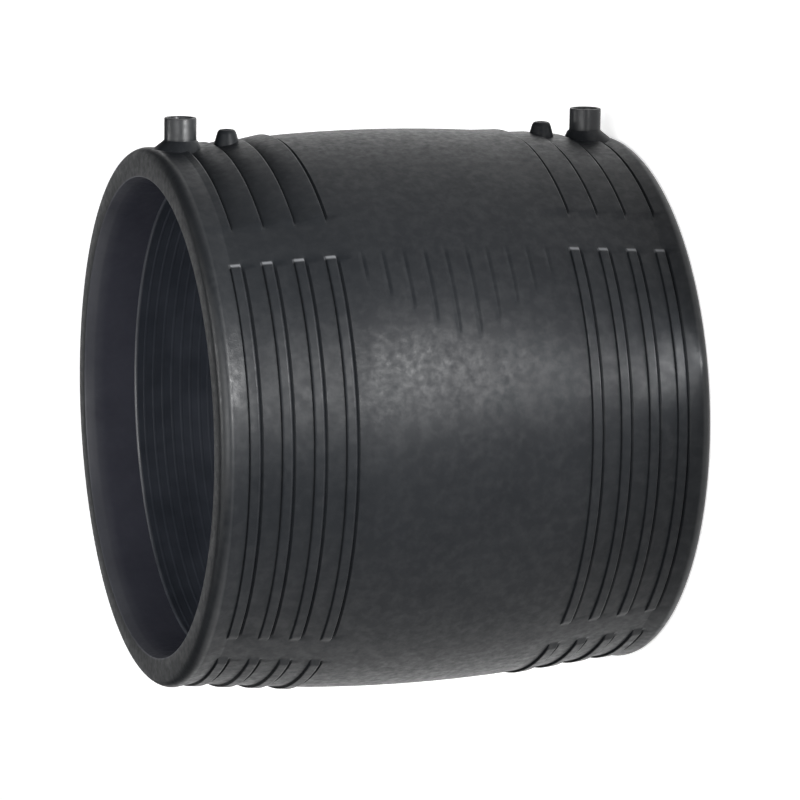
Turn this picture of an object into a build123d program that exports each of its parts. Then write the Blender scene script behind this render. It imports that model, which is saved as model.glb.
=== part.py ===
from build123d import *
import math
import os

# Electrofusion coupler for two lengths of 180 mm polyethylene pipe, in millimetres.
# It stands on its lower end: +Z runs along the pipe axis, the origin is the centre of
# the bore halfway between the ends, and the terminals and indicators point along +X.

# Whole fitting
length = 192.0
middle = length / 2

# Sockets
socketRadius = 90.75
entryRise = 0.55
leadInDepth = 8.7
leadInRise = 1.05

# Outer wall, over the socket
crownWall = 17.85
crownFall = 1.3
crownHalfWidth = 39.0
crownFlat = 13.0
neckWall = 12.05
neckFromEnd = 11.0
lipRise = 1.0
lipRound = 4.1
lipSteps = 2

# Ribs around the tapered ends
ribCount = 4
ribFromEnd = 12.3
ribPitch = 11.9
ribHeight = 1.1
ribWidth = 4.1
ribSink = 1.5
endArc = 75.4
gapArc = 10.4
sideArc = 180 - endArc - 2 * gapArc

# Terminals
terminalFromEnd = 13.3
shroudRadius = 6.15
shroudRise = 12.7
wellRadius = 4.75
wellDepth = 13.0
flareRise = 3.6
flareSink = 1.2
flareTopRadius = 6.8
flareBottomRadius = 10.9
flareLean = 2.1
pinRadius = 2.0
pinRecess = 3.9
pinTip = 0.6
rootRadius = 1.5

# Fusion indicators
indicatorFromEnd = 31.7
bossRise = 5.7
bossTopRadius = 3.3
bossDraft = 16.0
bossSink = 5.0
bossBevel = 0.9
indicatorHoleRadius = 1.7
indicatorClearance = 0.1
indicatorCover = 3.5
indicatorRecess = 1.0

# Heating winding, let into each socket
windingFromEnd = 20.6
windingLength = 49.0
windingThickness = 2.25
leadWidth = 1.6
leadReach = 1.0

# Dependent sizes
entryRadius = socketRadius + entryRise
crownRadius = socketRadius + crownWall
crownEdgeRadius = crownRadius - crownFall
neckRadius = socketRadius + neckWall
lipRadius = neckRadius + lipRise
windingOuterRadius = socketRadius + windingThickness
leadTop = windingOuterRadius + leadWidth / 2
shroudTop = neckRadius + shroudRise
wellFloor = shroudTop - wellDepth
pinTop = shroudTop - pinRecess
flareTop = neckRadius + flareRise
flareBottom = neckRadius - flareSink
indicatorFloor = windingOuterRadius + indicatorCover
neckOffset = middle - neckFromEnd
terminalOffset = middle - terminalFromEnd
windingOffset = middle - windingFromEnd
indicatorOffset = middle - indicatorFromEnd
taperSlope = (crownEdgeRadius - neckRadius) / (neckOffset - crownHalfWidth)
bossWall = crownEdgeRadius - taperSlope * (indicatorOffset - crownHalfWidth)
bossTop = bossWall + bossRise
bossFoot = bossWall - bossSink


def wallRadius(offset):
    """Outer radius of the tapered wall, offset being the distance from the middle."""
    return crownEdgeRadius - taperSlope * (offset - crownHalfWidth)


def atEnd(shape, upper):
    """A shape drawn for the upper half, moved to either half by mirroring."""
    if upper:
        return shape
    return shape.mirror(Plane.XY)


def sideways(shape, offset):
    """A shape drawn along +Z from the pipe axis, turned to point along +X at an offset."""
    return Pos(0, 0, offset) * Rot(0, 90, 0) * shape


def endOutline():
    """Corners from the crown over the lip and down to the winding, as radius and offset."""
    corners = [
        (crownRadius, crownFlat),
        (crownEdgeRadius, crownHalfWidth),
        (neckRadius, neckOffset),
    ]
    for step in range(lipSteps + 1):
        turn = math.radians(90 * step / lipSteps)
        radius = lipRadius - lipRound + lipRound * math.cos(turn)
        corners.append((radius, middle - lipRound + lipRound * math.sin(turn)))
    corners.append((entryRadius + leadInRise, middle))
    corners.append((entryRadius, middle - leadInDepth))
    corners.append((entryRadius, windingOffset))
    corners.append((socketRadius, windingOffset))
    return corners


def wall():
    """The moulded barrel: one outline turned about the pipe axis."""
    upper = endOutline()
    lower = [(radius, -offset) for radius, offset in reversed(upper)]
    outline = Polyline(*upper, *lower, close=True)
    return revolve(make_face(Plane.XZ * outline), Axis.Z)


def rib(offset, start, arc):
    """One low ridge of triangular section, over part of the way round."""
    foot = wallRadius(offset) - ribSink
    crest = wallRadius(offset) + ribHeight
    spread = ribWidth / 2 * (1 + ribSink / ribHeight)
    section = Polyline(
        (foot, offset - spread),
        (crest, offset),
        (foot, offset + spread),
        close=True,
    )
    band = revolve(make_face(Plane.XZ * section), Axis.Z, revolution_arc=arc)
    return Rot(0, 0, start) * band


def ribs():
    """Four ridges towards each end, each broken by four gaps round the barrel."""
    arcs = [
        (-endArc / 2, endArc),
        (endArc / 2 + gapArc, sideArc),
        (180 - endArc / 2, endArc),
        (180 + endArc / 2 + gapArc, sideArc),
    ]
    bands = []
    for row in range(ribCount):
        offset = middle - ribFromEnd - row * ribPitch
        for start, arc in arcs:
            band = rib(offset, start, arc)
            bands += [band, atEnd(band, False)]
    return bands


def shroud():
    """Round collar that guards a terminal, on a flared foot that leans to the mouth."""
    tube = Pos(0, 0, flareBottom) * Cylinder(
        shroudRadius, shroudTop - flareBottom, align=(Align.CENTER, Align.CENTER, Align.MIN)
    )
    low = Pos(-flareLean, 0, flareBottom) * Circle(flareBottomRadius)
    high = Pos(0, 0, flareTop) * Circle(flareTopRadius)
    return sideways(tube + loft([low, high]), terminalOffset)


def well():
    """The bore of a shroud, with the hole that holds the pin's root below it."""
    outline = Polyline(
        (0, leadTop),
        (rootRadius, leadTop),
        (rootRadius, wellFloor),
        (wellRadius, wellFloor),
        (wellRadius, shroudTop),
        (0, shroudTop),
        close=True,
    )
    cut = revolve(make_face(Plane.XZ * outline), Axis.Z)
    return sideways(cut, terminalOffset)


def terminalPin():
    """Turned contact pin: its shank stands on the floor, its root meets the wire."""
    outline = Polyline(
        (0, leadTop),
        (rootRadius, leadTop),
        (rootRadius, wellFloor),
        (pinRadius, wellFloor),
        (pinRadius, pinTop - pinTip),
        (pinRadius - pinTip, pinTop),
        (0, pinTop),
        close=True,
    )
    pin = revolve(make_face(Plane.XZ * outline), Axis.Z)
    return sideways(pin, terminalOffset)


def boss():
    """Drafted boss round an indicator, with a bevelled rim."""
    height = bossTop - bossFoot
    footRadius = bossTopRadius + height * math.tan(math.radians(bossDraft))
    cone = Pos(0, 0, bossFoot) * Cone(
        footRadius, bossTopRadius, height, align=(Align.CENTER, Align.CENTER, Align.MIN)
    )
    cone = chamfer(cone.edges().sort_by(Axis.Z)[-1], bossBevel)
    return sideways(cone, indicatorOffset)


def indicatorHole():
    """Blind hole from a boss down to just above the winding."""
    hole = Pos(0, 0, indicatorFloor) * Cylinder(
        indicatorHoleRadius,
        bossTop - indicatorFloor,
        align=(Align.CENTER, Align.CENTER, Align.MIN),
    )
    return sideways(hole, indicatorOffset)


def indicatorPin():
    """Pin that rises in its boss once the joint has melted, here before use."""
    radius = indicatorHoleRadius - indicatorClearance
    pin = Pos(0, 0, indicatorFloor) * Cylinder(
        radius,
        bossTop - indicatorRecess - indicatorFloor,
        align=(Align.CENTER, Align.CENTER, Align.MIN),
    )
    return sideways(pin, indicatorOffset)


def windingRing(inner):
    """Space of one socket's winding, down to a given inner radius."""
    ring = Cylinder(windingOuterRadius, windingLength) - Cylinder(inner, windingLength)
    return Pos(0, 0, windingOffset - windingLength / 2) * ring


def leads():
    """Ends of the wire out to the terminals, and its link across the cold middle."""
    outer = terminalOffset - windingOffset + leadReach
    outerLead = Pos(windingOuterRadius, 0, windingOffset) * Box(
        leadWidth, leadWidth, outer, align=(Align.CENTER, Align.CENTER, Align.MIN)
    )
    middleGap = 2 * (windingOffset - windingLength)
    link = Pos(windingOuterRadius, 0, 0) * Box(leadWidth, leadWidth, middleGap)
    return [outerLead, atEnd(outerLead, False), link]


def winding():
    """Both sockets' turns, the wire between them and its ends under the pins."""
    ring = windingRing(socketRadius)
    return ring + atEnd(ring, False) + leads()


def body():
    """The moulding: wall, ribs, shrouds and bosses, less what is let into it."""
    raised = ribs()
    recesses = leads()
    for upper in (True, False):
        raised += [atEnd(shroud(), upper), atEnd(boss(), upper)]
        recesses += [atEnd(well(), upper), atEnd(indicatorHole(), upper)]
        recesses += [atEnd(windingRing(socketRadius - windingThickness), upper)]
    return wall() + raised - recesses


os.makedirs("parts", exist_ok=True)
export_step(body(), "parts/coupler_body.step")
export_step(winding(), "parts/heating_winding.step")
for end, upper in (("upper", True), ("lower", False)):
    export_step(atEnd(terminalPin(), upper), f"parts/terminal_pin_{end}.step")
    export_step(atEnd(indicatorPin(), upper), f"parts/indicator_pin_{end}.step")
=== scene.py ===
import math
import bmesh
import bpy
from mathutils import Matrix, Vector


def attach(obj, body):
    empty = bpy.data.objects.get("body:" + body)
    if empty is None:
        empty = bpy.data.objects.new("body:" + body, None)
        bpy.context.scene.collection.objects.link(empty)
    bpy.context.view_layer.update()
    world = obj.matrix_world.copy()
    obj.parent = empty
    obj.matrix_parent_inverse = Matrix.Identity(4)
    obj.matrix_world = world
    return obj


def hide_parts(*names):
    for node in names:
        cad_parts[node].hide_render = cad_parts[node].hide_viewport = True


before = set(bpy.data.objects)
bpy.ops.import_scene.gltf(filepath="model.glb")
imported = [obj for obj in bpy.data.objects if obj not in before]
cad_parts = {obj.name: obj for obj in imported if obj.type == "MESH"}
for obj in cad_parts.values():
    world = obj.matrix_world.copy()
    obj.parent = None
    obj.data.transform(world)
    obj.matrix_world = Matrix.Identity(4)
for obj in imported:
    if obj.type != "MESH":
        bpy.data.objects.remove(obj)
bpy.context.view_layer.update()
mm = 0.001
doubles = 0.004 * mm  # points nearer than this are merged
middle = (0.3, 0.7)  # most of a noise lies between these
print("frame loaded:", ", ".join(sorted(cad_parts)))


# Handling pieces as at the screen

def clearSelection():
    if bpy.context.mode != "OBJECT":
        bpy.ops.object.mode_set(mode="OBJECT")
    bpy.ops.object.select_all(action="DESELECT")


def takeUp(piece):  # the only one selected, and active
    clearSelection()
    piece.select_set(True)
    bpy.context.view_layer.objects.active = piece
    return piece


def newPiece(name):  # the primitive just added, named
    piece = bpy.context.active_object
    piece.name = name
    piece.data.name = name
    return piece


def applyPlace(piece):  # the place goes into the mesh
    takeUp(piece)
    bpy.ops.object.transform_apply(location=True, rotation=True, scale=True)


def applyModifier(piece, modifier):
    takeUp(piece)
    bpy.ops.object.modifier_apply(modifier=modifier.name)


def pick(piece, test):  # in edit mode, selects the points that pass
    bpy.ops.mesh.select_all(action="DESELECT")
    points = bmesh.from_edit_mesh(piece.data)
    for point in points.verts:
        if test(point.co):
            point.select_set(True)
    points.select_flush(True)
    bmesh.update_edit_mesh(piece.data)


def cleanUp(piece):  # merges doubles and turns faces outwards
    takeUp(piece)
    bpy.ops.object.mode_set(mode="EDIT")
    bpy.ops.mesh.select_all(action="SELECT")
    bpy.ops.mesh.remove_doubles(threshold=doubles)
    bpy.ops.mesh.normals_make_consistent(inside=False)
    bpy.ops.object.mode_set(mode="OBJECT")


def boolean(piece, other, operation):
    change = piece.modifiers.new("change", "BOOLEAN")
    change.operation = operation
    change.solver = "EXACT"
    change.object = other
    applyModifier(piece, change)
    bpy.data.objects.remove(other)


def joinAll(pieces, name):
    takeUp(pieces[0])
    for piece in pieces[1:]:
        piece.select_set(True)
    bpy.ops.object.join()
    return newPiece(name)


def drawOutline(name, corners):  # radius and offset, point by point; stays in edit mode
    clearSelection()
    bpy.ops.mesh.primitive_plane_add(size=1 * mm, location=(0, 0, 0))
    piece = newPiece(name)
    bpy.ops.object.mode_set(mode="EDIT")
    bpy.ops.mesh.select_all(action="SELECT")
    bpy.ops.mesh.merge(type="CENTER")
    bpy.ops.transform.translate(value=(corners[0][0], 0, corners[0][1]))
    before = corners[0]
    for corner in corners[1:] + corners[:1]:
        step = (corner[0] - before[0], 0, corner[1] - before[1])
        bpy.ops.mesh.extrude_vertices_move(TRANSFORM_OT_translate={"value": step})
        before = corner
    bpy.ops.mesh.select_all(action="SELECT")
    bpy.ops.mesh.remove_doubles(threshold=doubles)
    return piece


def spin(arc, steps):  # about the pipe axis
    bpy.ops.mesh.spin(steps=steps, angle=math.radians(arc), center=(0, 0, 0), axis=(0, 0, 1))


def resizeAcross(share):  # the picked points come nearer to the pipe axis, or go further off
    bpy.ops.transform.resize(value=(share, share, 1), center_override=(0, 0, 0))


# Barrel: one outline spun about the pipe axis, ribs and all

barrelSizes = {
    "half": 96.0 * mm,
    "crownRadius": 108.55 * mm,
    "crownEdgeRadius": 107.3 * mm,
    "crownEdge": 39.0 * mm,
    "neckRadius": 102.8 * mm,
    "neck": 85.0 * mm,
    "lipRadius": 103.8 * mm,
    "lipRound": 4.1 * mm,
    "lipSteps": 9,
    "mouthRadius": 92.35 * mm,
    "entryRadius": 91.3 * mm,
    "mouthEdge": 0.5 * mm,
    "leadIn": 8.7 * mm,
    "socketRadius": 90.75 * mm,
    "windingTop": 75.4 * mm,
    "windingFoot": 26.4 * mm,
    "recessRadius": 93.0 * mm,
    "ribs": [48.0 * mm, 59.9 * mm, 71.8 * mm, 83.7 * mm],
    "ribShape": [(2.06, 0.0), (1.95, 0.25), (1.88, 0.7), (1.7, 0.92), (1.4, 1.0), (1.1, 1.0),
                 (-1.1, 1.0), (-1.4, 1.0), (-1.7, 0.88), (-1.9, 0.6),
                 (-2.05, -0.3), (-2.5, -0.65), (-3.35, 0.0)],
    "grooves": [(4.1, 17.3), (12.2, 14.3), (20.3, 11.3), (28.4, 8.3), (36.2, 4.3)],
    "grooveHalf": 0.85 * mm,
    "grooveFloor": 0.2 * mm,
    "grooveDepth": 0.32 * mm,
    "grooveSkin": 1 * mm,
    "ribArc": 75.4,
    "ribSteps": 38,
    "gapArc": 10.4,
    "gapSteps": 9,
    "sideSteps": 84,
    "slopeArc": 1.1,
    "rampFrom": 1.0,
    "rampEnd": 8.55,
    "slackAlong": 0.01 * mm,
    "slackAcross": 0.1 * mm,
    "slackTurn": 0.05,
    "smooth": 32,
}


def wallAt(offset):  # outer radius without ribs, at a distance from the middle
    s = barrelSizes
    if offset <= s["crownEdge"]:
        rise = s["crownRadius"] - s["crownEdgeRadius"]
        return s["crownRadius"] - rise * (offset / s["crownEdge"]) ** 2
    if offset <= s["neck"]:
        share = (offset - s["crownEdge"]) / (s["neck"] - s["crownEdge"])
        return s["crownEdgeRadius"] + share * (s["neckRadius"] - s["crownEdgeRadius"])
    foot = s["half"] - s["lipRound"]
    share = (offset - s["neck"]) / (foot - s["neck"])
    return s["neckRadius"] + share * (s["lipRadius"] - s["neckRadius"])


def ribProfile(up):  # across and height, with the crease on the -Z side in both halves
    shape = barrelSizes["ribShape"]
    if up:
        return shape
    return [(-across, height) for across, height in reversed(shape)]


def halfOutline(up):  # from the crown over the lip and down the socket, as radius and offset
    s = barrelSizes
    corners = [(s["crownRadius"], 0.0)]
    for groove, reach in s["grooves"]:
        for side in (-2 * s["grooveHalf"], -s["grooveHalf"], -s["grooveFloor"],
                     s["grooveFloor"], s["grooveHalf"], 2 * s["grooveHalf"]):
            offset = groove * mm + side
            corners.append((wallAt(offset), offset))
    corners.append((s["crownEdgeRadius"], s["crownEdge"]))
    for rib in s["ribs"]:
        for across, height in reversed(ribProfile(up)):
            offset = rib + across * mm
            corners.append((wallAt(offset) + height * mm, offset))
    for step in range(s["lipSteps"] + 1):
        turn = math.radians(90 * step / s["lipSteps"])
        radius = s["lipRadius"] - s["lipRound"] * (1 - math.cos(turn))
        corners.append((radius, s["half"] - s["lipRound"] * (1 - math.sin(turn))))
    corners.append((s["mouthRadius"] + s["mouthEdge"], s["half"]))
    ease = 0.3 * s["mouthEdge"]
    corners.append((s["mouthRadius"] + ease, s["half"] - ease))
    corners.append((s["mouthRadius"], s["half"] - s["mouthEdge"]))
    corners.append((s["entryRadius"], s["half"] - s["leadIn"]))
    corners.append((s["entryRadius"], s["windingTop"]))
    corners.append((s["recessRadius"], s["windingTop"]))
    corners.append((s["recessRadius"], s["windingFoot"]))
    corners.append((s["socketRadius"], s["windingFoot"]))
    return corners


def turned(point):  # degrees from the nearer of +X and -X
    turn = abs(math.degrees(math.atan2(point.y, point.x)))
    return min(turn, 180 - turn)


def ribRings():  # side, offset, distance to the rib's middle, wall and crest of each ring
    for side in (1, -1):
        for rib in barrelSizes["ribs"]:
            for across, height in ribProfile(side == 1):
                offset = rib + across * mm
                wall = wallAt(offset)
                yield side, offset, side * across, wall, wall + height * mm


def pickRing(barrel, side, offset, radius, test):  # the points of one ring that pass
    s = barrelSizes
    pick(barrel, lambda p: abs(side * p.z - offset) < s["slackAlong"]
         and abs(math.hypot(p.x, p.y) - radius) < s["slackAcross"] and test(p))


def buildBarrel():
    s = barrelSizes
    upper = halfOutline(True)
    lower = [(radius, -offset) for radius, offset in reversed(halfOutline(False)[1:])]
    barrel = drawOutline("couplerMoulding", upper + lower)
    slope = s["slopeArc"]
    ribs = [(s["ribArc"] / 2, s["ribSteps"])]
    gap = [(slope, 1), (s["gapArc"] - 2 * slope, s["gapSteps"]), (slope, 1)]
    sideRibs = [(180 - s["ribArc"] - 2 * s["gapArc"], s["sideSteps"])]
    half = ribs + gap + sideRibs + gap + ribs
    for arc, steps in half + half[::-1]:
        spin(arc, steps)
    bpy.ops.mesh.select_all(action="SELECT")
    bpy.ops.mesh.remove_doubles(threshold=doubles)

    ribEnd = s["ribArc"] / 2
    gapStart = ribEnd + slope - s["slackTurn"]
    gapEnd = ribEnd + s["gapArc"] - slope + s["slackTurn"]
    for side, offset, leftward, wall, crest in ribRings():  # the ribs sink into the wall in gaps
        if crest != wall:
            pickRing(barrel, side, offset, crest, lambda p: gapStart < turned(p) < gapEnd)
            resizeAcross(wall / crest)

    for side, offset, leftward, wall, crest in ribRings():
        if leftward >= s["rampFrom"]:  # by the terminals each rib runs out in a long ramp to +Z
            ramp = (s["rampEnd"] - leftward) / (s["rampEnd"] + s["rampFrom"])
            pickRing(barrel, side, offset, crest,
                     lambda p: p.x > 0 and turned(p) < ribEnd + s["slackTurn"])
            resizeAcross((wall + ramp * mm) / crest)

    sideStart = ribEnd + s["gapArc"]
    for groove, reach in s["grooves"]:  # short, across the crown, and longest in its middle
        pick(barrel, lambda p: abs(abs(p.z) - groove * mm) < s["grooveFloor"] + s["slackAlong"]
             and p.x > 0 and p.y < 0
             and math.hypot(p.x, p.y) > s["crownEdgeRadius"] - s["grooveSkin"]
             and sideStart - 2 * s["slackTurn"] < turned(p) < sideStart + reach)
        resizeAcross(1 - s["grooveDepth"] / s["crownRadius"])
    bpy.ops.object.mode_set(mode="OBJECT")
    cleanUp(barrel)
    return barrel


# Terminal shrouds and indicator bosses, stacked ring by ring and then joined to the barrel

shroudSizes = {
    "offset": 82.7 * mm,
    "lean": 2.1 * mm,
    "sunk": 99.0 * mm,
    "rings": [(101.6, 10.9), (106.2, 7.0), (106.6, 6.55), (107.0, 6.2), (107.5, 6.15),
              (115.1, 6.15), (115.38, 6.05), (115.5, 5.8)],
    "top": 115.5,
    "cutTop": 118,
    "wellRadius": 4.75,
    "wellFloor": 102.5 * mm,
    "rimEase": 0.35,
    "sides": 64,
}
bossSizes = {
    "offset": 64.3 * mm,
    "sunk": 100.0 * mm,
    "rings": [(104.0, 5.15), (108.9, 3.75), (109.6, 3.5), (110.15, 3.1), (110.42, 2.7), (110.5, 2.3)],
    "holeRadius": 1.7,
    "holeFloor": 96.5 * mm,
    "cutTop": 112.0,
    "sides": 48,
}


def stack(name, sides, offset, sunk, rings, lean=0.0):  # closed, rings in mm, along +X
    clearSelection()
    radius, centre = rings[0][1] * mm, offset + lean
    bpy.ops.mesh.primitive_circle_add(vertices=sides, radius=radius, fill_type="NGON",
                                      location=(sunk, 0, centre),
                                      rotation=(0, math.radians(90), 0))
    piece = newPiece(name)
    applyPlace(piece)
    bpy.ops.object.mode_set(mode="EDIT")
    bpy.ops.mesh.select_all(action="SELECT")
    top = sunk
    for number, (height, wide) in enumerate(rings):
        towards = offset + lean if number == 0 else offset
        bpy.ops.mesh.extrude_region_move(
            TRANSFORM_OT_translate={"value": (height * mm - top, 0, towards - centre)})
        top, centre = height * mm, towards
        grow = wide * mm / radius
        bpy.ops.transform.resize(value=(1, grow, grow), center_override=(top, 0, centre))
        radius = wide * mm
    bpy.ops.object.mode_set(mode="OBJECT")
    cleanUp(piece)
    return piece


def mirrored(piece, name):  # a copy with its own mesh, mirrored to the other end
    takeUp(piece)
    bpy.ops.object.duplicate()
    other = newPiece(name)
    bpy.ops.transform.resize(value=(1, 1, -1), center_override=(0, 0, 0))
    applyPlace(other)
    cleanUp(other)
    return other


def buildMoulding():
    barrel = buildBarrel()
    print("barrel spun:", len(barrel.data.polygons), "faces")
    a, b = shroudSizes, bossSizes
    shroud = stack("shroud", a["sides"], a["offset"], a["sunk"], a["rings"], a["lean"])
    boss = stack("boss", b["sides"], b["offset"], b["sunk"], b["rings"])
    raised = joinAll([shroud, mirrored(shroud, "shroudLower"),
                      boss, mirrored(boss, "bossLower")], "raised")
    boolean(barrel, raised, "UNION")
    print("shrouds and bosses joined:", len(barrel.data.polygons), "faces")
    top, rim, ease = a["top"], a["wellRadius"], a["rimEase"]
    rings = [(top - ease, rim), (top - 0.3 * ease, rim + 0.3 * ease),
             (top, rim + ease), (a["cutTop"], rim + ease)]
    well = stack("well", a["sides"], a["offset"], a["wellFloor"], rings)
    rings = [(b["cutTop"], b["holeRadius"])]
    hole = stack("hole", b["sides"], b["offset"], b["holeFloor"], rings)
    cutters = joinAll([well, mirrored(well, "wellLower"),
                       hole, mirrored(hole, "holeLower")], "cutters")
    boolean(barrel, cutters, "DIFFERENCE")
    takeUp(barrel)
    bpy.ops.object.shade_smooth_by_angle(angle=math.radians(barrelSizes["smooth"]))
    print("wells and holes cut:", len(barrel.data.polygons), "faces")
    return barrel


# Turns of the heating wire, which stand a little proud in each socket

coilSizes = {
    "wire": 1.1 * mm,
    "flatness": 0.45,
    "line": 91.26 * mm,
    "start": 27.9 * mm,
    "pitch": 3.85 * mm,
    "turns": 12,
    "sheathOutline": [(92.98, 75.4), (91.28, 75.4), (91.0, 75.15), (90.78, 74.75),
                      (90.78, 74.4), (90.86, 74.1), (90.86, 28.4), (90.78, 28.0),
                      (90.78, 26.4), (92.98, 26.4)],
    "sheathSteps": 240,
    "sheathSmooth": 40,
    "steps": 120,
    "sides": 12,
    "smooth": 50,
}


def buildSheath():  # the plastic layer that the turns lie in, one band in each socket
    s = coilSizes
    corners = [(radius * mm, offset * mm) for radius, offset in s["sheathOutline"]]
    sheath = drawOutline("windingSheathUpper", corners)
    spin(360, s["sheathSteps"])
    bpy.ops.object.mode_set(mode="OBJECT")
    cleanUp(sheath)
    lower = mirrored(sheath, "windingSheathLower")
    for band in (sheath, lower):
        takeUp(band)
        bpy.ops.object.shade_smooth_by_angle(angle=math.radians(s["sheathSmooth"]))
    return [sheath, lower]


def buildTurns():
    s = coilSizes
    clearSelection()
    place = (s["line"], 0, s["start"])
    bpy.ops.mesh.primitive_circle_add(vertices=s["sides"], radius=s["wire"], fill_type="NOTHING",
                                      location=place, rotation=(math.radians(90), 0, 0))
    turns = newPiece("windingTurnsUpper")
    applyPlace(turns)
    bpy.ops.transform.resize(value=(s["flatness"], 1, 1), center_override=place)
    applyPlace(turns)
    screw = turns.modifiers.new("screw", "SCREW")
    screw.axis = "Z"
    screw.angle = math.radians(360)
    screw.screw_offset = s["pitch"]
    screw.iterations = s["turns"]
    screw.steps = screw.render_steps = s["steps"]
    screw.use_merge_vertices = False
    applyModifier(turns, screw)
    takeUp(turns)
    bpy.ops.object.mode_set(mode="EDIT")
    bpy.ops.mesh.select_all(action="SELECT")
    bpy.ops.mesh.remove_doubles(threshold=doubles)
    bpy.ops.mesh.select_all(action="DESELECT")
    bpy.ops.mesh.select_non_manifold()
    bpy.ops.mesh.edge_face_add()
    bpy.ops.object.mode_set(mode="OBJECT")
    cleanUp(turns)
    lower = mirrored(turns, "windingTurnsLower")
    for coil in (turns, lower):
        takeUp(coil)
        bpy.ops.object.shade_smooth_by_angle(angle=math.radians(s["smooth"]))
    print("turns wound:", len(turns.data.polygons), "faces each")
    return [turns, lower]


# Finishes

class Nodes:  # a short way to place and wire a material's nodes

    def __init__(self, name):
        self.material = bpy.data.materials.new(name)
        self.material.use_nodes = True
        self.tree = self.material.node_tree
        self.shader = self.tree.nodes["Principled BSDF"]
        self.place = self.add("ShaderNodeTexCoord").outputs["Object"]

    def add(self, kind, **settings):
        node = self.tree.nodes.new(kind)
        for key, value in settings.items():
            setattr(node, key, value)
        return node

    def link(self, source, target):
        self.tree.links.new(source, target)

    def noise(self, scale, detail=3.0, roughness=0.5, distortion=0.0):
        node = self.add("ShaderNodeTexNoise")
        node.inputs["Scale"].default_value = scale
        node.inputs["Detail"].default_value = detail
        node.inputs["Roughness"].default_value = roughness
        node.inputs["Distortion"].default_value = distortion
        self.link(self.place, node.inputs["Vector"])
        return node.outputs["Fac"]

    def shades(self, source, dark, light, spread=middle):  # from dark to light
        node = self.add("ShaderNodeValToRGB")
        for stop, place, colour in zip(node.color_ramp.elements, spread, (dark, light)):
            stop.position = place
            stop.color = (*colour, 1)
        self.link(source, node.inputs["Fac"])
        return node.outputs["Color"]

    def span(self, source, low, high, start=0.0, end=1.0):
        node = self.add("ShaderNodeMapRange")
        node.inputs["From Min"].default_value = start
        node.inputs["From Max"].default_value = end
        node.inputs["To Min"].default_value = low
        node.inputs["To Max"].default_value = high
        self.link(source, node.inputs["Value"])
        return node.outputs["Result"]

    def math(self, operation, first, second=None):  # the second is a socket or a number
        node = self.add("ShaderNodeMath", operation=operation)
        self.link(first, node.inputs[0])
        if isinstance(second, float):
            node.inputs[1].default_value = second
        elif second is not None:
            self.link(second, node.inputs[1])
        return node.outputs[0]

    def bump(self, height, depth, strength=1.0, before=None):
        node = self.add("ShaderNodeBump")
        node.inputs["Distance"].default_value = depth
        node.inputs["Strength"].default_value = strength
        self.link(height, node.inputs["Height"])
        if before is not None:
            self.link(before, node.inputs["Normal"])
        return node.outputs["Normal"]


mouldingLook = {
    "dark": (0.0063, 0.0072, 0.0086),
    "light": (0.0094, 0.0105, 0.0120),
    # painted light: the bore, and the lead-in at the mouth more so, are painted lighter than the
    # outside of the same moulding, standing in for light that falls in through the mouth
    "boreDark": (0.029, 0.030, 0.040),
    "boreLight": (0.040, 0.041, 0.053),
    "leadDark": (0.036, 0.037, 0.046),
    "leadLight": (0.056, 0.058, 0.068),
    "leadEdge": (0.0914, 0.0920),
    "boreEdge": (0.0925, 0.0932),
    "shine": (0.105, 0.175),
    "scuffs": (0.42, 0.72),
    "lipEdge": (0.0915, 0.0925),
    "lipPolish": 0.20,
    "shroudFoot": (0.1066, 0.1080),
    "shroudZone": (0.0740, 0.0750),
    "shroudPolish": 0.22,
    # painted highlight: a pale colour on the upper ends of the side ribs, standing in for the glint
    # of light on them
    "paintedGlint": (0.105, 0.108, 0.114),
    "paintedGlintFrom": (0.8205, 0.8285),
    "paintedGlintTo": (0.8350, 0.8430),
    "paintedGlintRows": [(0.0456, 0.0464), (0.0497, 0.0505)],
    "rowPitch": 0.0119,
    "lastRow": (0.0870, 0.0874),
    "gloss": (0.30, 0.50),
    "flow": (26.0, 4.0, 0.6, 0.4),
    "mottle": (372.0, 4.0, 0.65),
    "scuff": (248.0, 4.0, 0.6, 0.2),
    "peel": (620.0, 2.0, 0.5),
    "peelBump": (0.04 * mm, 0.5),
    "sink": (41.6, 2.0, 0.5),
    "sinkBump": (0.3 * mm, 0.25),
}


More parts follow.
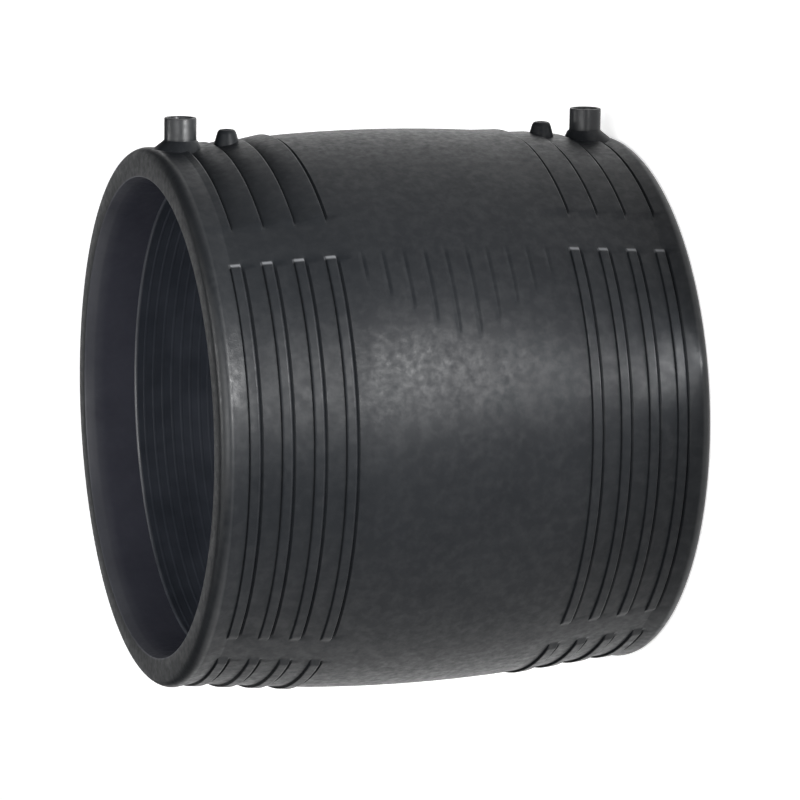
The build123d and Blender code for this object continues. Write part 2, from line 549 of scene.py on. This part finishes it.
def mouldedPlastic():
    s = mouldingLook
    nodes = Nodes("blackPolyethylene")
    shade = nodes.noise(*s["flow"])
    flat = nodes.add("ShaderNodeVectorMath", operation="MULTIPLY")
    flat.inputs[1].default_value = (1, 1, 0)
    nodes.link(nodes.place, flat.inputs[0])
    length = nodes.add("ShaderNodeVectorMath", operation="LENGTH")
    nodes.link(flat.outputs["Vector"], length.inputs[0])
    radius = length.outputs["Value"]
    # painted light: lighter colours inside the bore and lighter still on the lead-in
    outside = nodes.span(radius, 0.0, 1.0, *s["boreEdge"])
    layers = ((nodes.span(radius, 0.0, 1.0, *s["leadEdge"]), "leadDark", "leadLight"),
              (outside, "dark", "light"))
    colour = nodes.shades(shade, s["boreDark"], s["boreLight"])
    for share, dark, light in layers:
        mix = nodes.add("ShaderNodeMix", data_type="RGBA")
        nodes.link(share, mix.inputs["Factor"])
        nodes.link(colour, mix.inputs["A"])
        nodes.link(nodes.shades(shade, s[dark], s[light]), mix.inputs["B"])
        colour = mix.outputs["Result"]
    axes = nodes.add("ShaderNodeSeparateXYZ")
    nodes.link(nodes.place, axes.inputs[0])
    end = nodes.math("ABSOLUTE", axes.outputs["Z"])
    around = nodes.math("ABSOLUTE", nodes.math("ARCTAN2", axes.outputs["Y"], axes.outputs["X"]))
    # painted highlight: a mask of the side ribs' upper ends, which are painted pale as if lit
    first, last = s["paintedGlintRows"]  # every rib's place is brought back to the first one's
    rows = nodes.math("MODULO", nodes.math("SUBTRACT", end, first[0]), s["rowPitch"])
    glintMask = nodes.span(rows, 0.0, 1.0, 0.0, first[1] - first[0])
    for fade in (outside, nodes.span(rows, 1.0, 0.0, last[0] - first[0], last[1] - first[0]),
                 nodes.span(end, 1.0, 0.0, *s["lastRow"]),
                 nodes.span(around, 0.0, 1.0, *s["paintedGlintFrom"]),
                 nodes.span(around, 1.0, 0.0, *s["paintedGlintTo"])):
        glintMask = nodes.math("MULTIPLY", glintMask, fade)
    glintMix = nodes.add("ShaderNodeMix", data_type="RGBA")  # painted highlight: the side ribs' upper ends are painted pale where they catch the light from above
    nodes.link(glintMask, glintMix.inputs["Factor"])
    nodes.link(colour, glintMix.inputs["A"])
    glintMix.inputs["B"].default_value = (*s["paintedGlint"], 1)
    nodes.link(glintMix.outputs["Result"], nodes.shader.inputs["Base Color"])
    mottle = nodes.noise(*s["mottle"])
    nodes.link(nodes.span(mottle, *s["gloss"], *middle), nodes.shader.inputs["Roughness"])
    lips = nodes.span(end, 0.0, s["lipPolish"], *s["lipEdge"])  # smoother than the barrel
    shrouds = nodes.math("MULTIPLY",
                         nodes.span(axes.outputs["X"], 0.0, 1.0, *s["shroudFoot"]),
                         nodes.span(end, 0.0, s["shroudPolish"], *s["shroudZone"]))
    shine = nodes.math("ADD", nodes.span(nodes.noise(*s["scuff"]), *s["shine"], *s["scuffs"]),
                       nodes.math("MAXIMUM", lips, shrouds))
    nodes.link(shine, nodes.shader.inputs["Specular IOR Level"])
    peel = nodes.bump(nodes.noise(*s["peel"]), *s["peelBump"])
    nodes.link(nodes.bump(nodes.noise(*s["sink"]), *s["sinkBump"], peel),
               nodes.shader.inputs["Normal"])
    return nodes.material


windingLook = {
    "dark": (0.022, 0.025, 0.032),
    "light": (0.032, 0.036, 0.046),
    "gloss": (0.28, 0.60),
    "specular": 0.13,
    "edge": (0.0740, 0.0744),
    "edgeShine": 0.9,
    "shade": (60.0, 3.0, 0.6),
    "grain": (900.0, 2.0),
    "grainBump": (0.03 * mm, 0.5),
}


def grainy(nodes, s):  # colour and roughness after one noise, and a fine grain
    shade = nodes.noise(*s["shade"])
    nodes.link(nodes.shades(shade, s["dark"], s["light"]), nodes.shader.inputs["Base Color"])
    nodes.link(nodes.span(shade, *s["gloss"], *middle), nodes.shader.inputs["Roughness"])
    nodes.link(nodes.bump(nodes.noise(*s["grain"]), *s["grainBump"]),
               nodes.shader.inputs["Normal"])


def sheathPlastic():
    s = windingLook
    nodes = Nodes("sheathPlastic")
    grainy(nodes, s)
    axes = nodes.add("ShaderNodeSeparateXYZ")  # the band's edge towards the mouth catches the light
    nodes.link(nodes.place, axes.inputs[0])
    end = nodes.math("ABSOLUTE", axes.outputs["Z"])
    nodes.link(nodes.span(end, s["specular"], s["edgeShine"], *s["edge"]),
               nodes.shader.inputs["Specular IOR Level"])
    return nodes.material


terminalLook = {
    "bright": (0.78, 0.60, 0.30),
    "dull": (0.52, 0.38, 0.18),
    "gloss": (0.22, 0.42),
    "tarnish": (700.0, 4.0, 0.6),
    "tarnishSpread": (0.35, 0.65),
    "turning": 900.0,
    "turningWaver": 0.6,
    "turningBump": (0.01 * mm, 0.3),
}


def turnedBrass():
    s = terminalLook
    nodes = Nodes("turnedBrass")
    tarnish = nodes.noise(*s["tarnish"])
    nodes.link(nodes.shades(tarnish, s["dull"], s["bright"], s["tarnishSpread"]),
               nodes.shader.inputs["Base Color"])
    nodes.link(nodes.span(tarnish, *s["gloss"], *middle), nodes.shader.inputs["Roughness"])
    nodes.shader.inputs["Metallic"].default_value = 1.0
    rings = nodes.add("ShaderNodeTexWave", wave_type="BANDS", bands_direction="X")
    rings.inputs["Scale"].default_value = s["turning"]
    rings.inputs["Distortion"].default_value = s["turningWaver"]
    nodes.link(nodes.place, rings.inputs["Vector"])
    nodes.link(nodes.bump(rings.outputs["Fac"], *s["turningBump"]), nodes.shader.inputs["Normal"])
    return nodes.material


indicatorLook = {
    "dark": (0.012, 0.012, 0.013),
    "light": (0.022, 0.023, 0.024),
    "gloss": (0.45, 0.60),
    "specular": 0.13,
    "shade": (500.0, 3.0, 0.6),
    "grain": (1500.0, 2.0),
    "grainBump": (0.03 * mm, 0.4),
}


def indicatorPlastic():
    nodes = Nodes("indicatorPlastic")
    grainy(nodes, indicatorLook)
    nodes.shader.inputs["Specular IOR Level"].default_value = indicatorLook["specular"]
    return nodes.material


def dress(piece, material):
    piece.data.materials.clear()
    piece.data.materials.append(material)


moulding = buildMoulding()
turns = buildTurns()
bands = buildSheath()
dress(moulding, mouldedPlastic())
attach(moulding, "root")
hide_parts("coupler_body")
sheath = sheathPlastic()
for piece in turns + bands:
    dress(piece, sheath)
    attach(piece, "root")
    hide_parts("heating_winding")
brass = turnedBrass()
indicator = indicatorPlastic()
for end in ("upper", "lower"):
    dress(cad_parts["terminal_pin_" + end], brass)
    dress(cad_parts["indicator_pin_" + end], indicator)
print("finishes on")


# Floor, lights and camera

studio = {
    "floorSize": 8,
    "floorColour": (0.90, 0.90, 0.90),
    "floorRoughness": 0.8,
    "floorSpecular": 0.2,
    "floorGlow": 0.66,
    "world": 0.05,
    "lamps": [
        ("frontLight", (0.20, -1.15, 0.85), (0.6, 0.5), 2.5),
        ("keyLight", (0.20, -0.85, 0.80), (0.8, 0.75), 8.5),
        ("overLight", (0.1, -0.3, 2.2), (2.4, 2.4), 22.0),
        ("sideLight", (1.2, 0.2, 0.25), (0.9, 0.5), 0.8),
        ("lowLight", (-0.75, -0.25, 0.15), (0.9, 0.6), 2.0),
        ("topLight", (0.045, 0.24, 1.06), (0.25, 0.30), 2.5),
        ("backCard", (-0.03, 0.24, 0.145), (0.40, 0.05), 0.05, (0.0, 0.0, 0.096)),
    ],
    "panelFoot": (0.029, -0.104),
    "panelTurn": 16.5,
    "panelLift": 2 * mm,
    "panels": [(0.0, 0.04, 0.02, 50.0), (0.04, 0.12, 0.03, 37.0),
               (0.12, 0.30, 0.06, 64.0), (0.30, 0.85, 0.16, 215.0)],
}


def addLight(name, place, turn, size, power):  # a rectangle that shines along its own -Z
    clearSelection()
    bpy.ops.object.light_add(type="AREA", location=place, rotation=turn)
    light = bpy.context.active_object
    light.name = name
    light.data.shape = "RECTANGLE"
    light.data.size, light.data.size_y = size
    light.data.energy = power


def aimedLight(name, place, size, power, aim=(0, 0, 0)):
    turn = (Vector(place) - Vector(aim)).to_track_quat("Z", "Y").to_euler()
    addLight(name, place, turn, size, power)


def buildStudio():
    s = studio
    clearSelection()
    bpy.ops.mesh.primitive_plane_add(size=s["floorSize"], location=(0, 0, -barrelSizes["half"]))
    floor = newPiece("floor")
    applyPlace(floor)
    paint = Nodes("paleFloor")
    paint.shader.inputs["Base Color"].default_value = (*s["floorColour"], 1)
    paint.shader.inputs["Roughness"].default_value = s["floorRoughness"]
    paint.shader.inputs["Specular IOR Level"].default_value = s["floorSpecular"]
    paint.shader.inputs["Emission Color"].default_value = (1, 1, 1, 1)
    path = paint.add("ShaderNodeLightPath")  # the backdrop is white to the eye and in reflections
    seen = path.outputs["Is Camera Ray"]
    for ray in ("Is Glossy Ray", "Is Transmission Ray"):
        seen = paint.math("MAXIMUM", seen, path.outputs[ray])
    paint.link(paint.span(seen, 0.0, s["floorGlow"]), paint.shader.inputs["Emission Strength"])
    dress(floor, paint.material)
    for lamp in s["lamps"]:
        aimedLight(*lamp)
    turn = math.radians(s["panelTurn"])  # low strips ahead of the barrel, which show in its front
    for number, (near, far, width, glow) in enumerate(s["panels"]):
        reach = (near + far) / 2
        place = (s["panelFoot"][0] + reach * math.sin(turn),
                 s["panelFoot"][1] - reach * math.cos(turn), s["panelLift"] - barrelSizes["half"])
        addLight("lowStrip" + str(number + 1), place, (math.pi, 0, -turn), (width, far - near),
                 glow * width * (far - near))
    world = bpy.context.scene.world or bpy.data.worlds.new("studioWorld")
    bpy.context.scene.world = world
    world.use_nodes = True
    background = world.node_tree.nodes["Background"]
    background.inputs["Color"].default_value = (1, 1, 1, 1)
    background.inputs["Strength"].default_value = s["world"]
    bpy.context.scene.view_settings.view_transform = "Standard"


photoView = {  # the camera that fits the photograph, turned so that the pipe axis lies level
    "focal": 4022.64,
    "picture": 800,
    "sensor": 36.0,
    "azimuth": 19.2337,
    "elevation": 10.3872,
    "roll": 0.8439,
    "distance": 1556.26,
    "along": 7.236,
    "above": 2.152,
    "unit": 1.014 * mm,
    "clip": (0.05, 50),
}


def buildCamera():
    s = photoView
    turn, lift, roll = (math.radians(s[key]) for key in ("azimuth", "elevation", "roll"))
    back = Vector((math.sin(lift), -math.cos(turn) * math.cos(lift),
                   math.sin(turn) * math.cos(lift)))
    level = Vector((1, 0, 0)).cross(back).normalized()
    over = back.cross(level)
    right = math.cos(roll) * level + math.sin(roll) * over
    up = back.cross(right)
    target = Vector((s["above"], 0, -s["along"])) * s["unit"]
    place = target + back * s["distance"] * s["unit"]
    stance = Matrix((right, up, back)).transposed().to_4x4()
    clearSelection()
    bpy.ops.object.camera_add()
    camera = bpy.context.active_object
    camera.name = "photoCamera"
    camera.matrix_world = Matrix.Translation(place) @ stance
    camera.data.sensor_fit = "HORIZONTAL"
    camera.data.sensor_width = s["sensor"]
    camera.data.lens = s["focal"] * s["sensor"] / s["picture"]
    camera.data.clip_start, camera.data.clip_end = s["clip"]
    bpy.context.scene.camera = camera


buildStudio()
buildCamera()
print("studio and camera set")
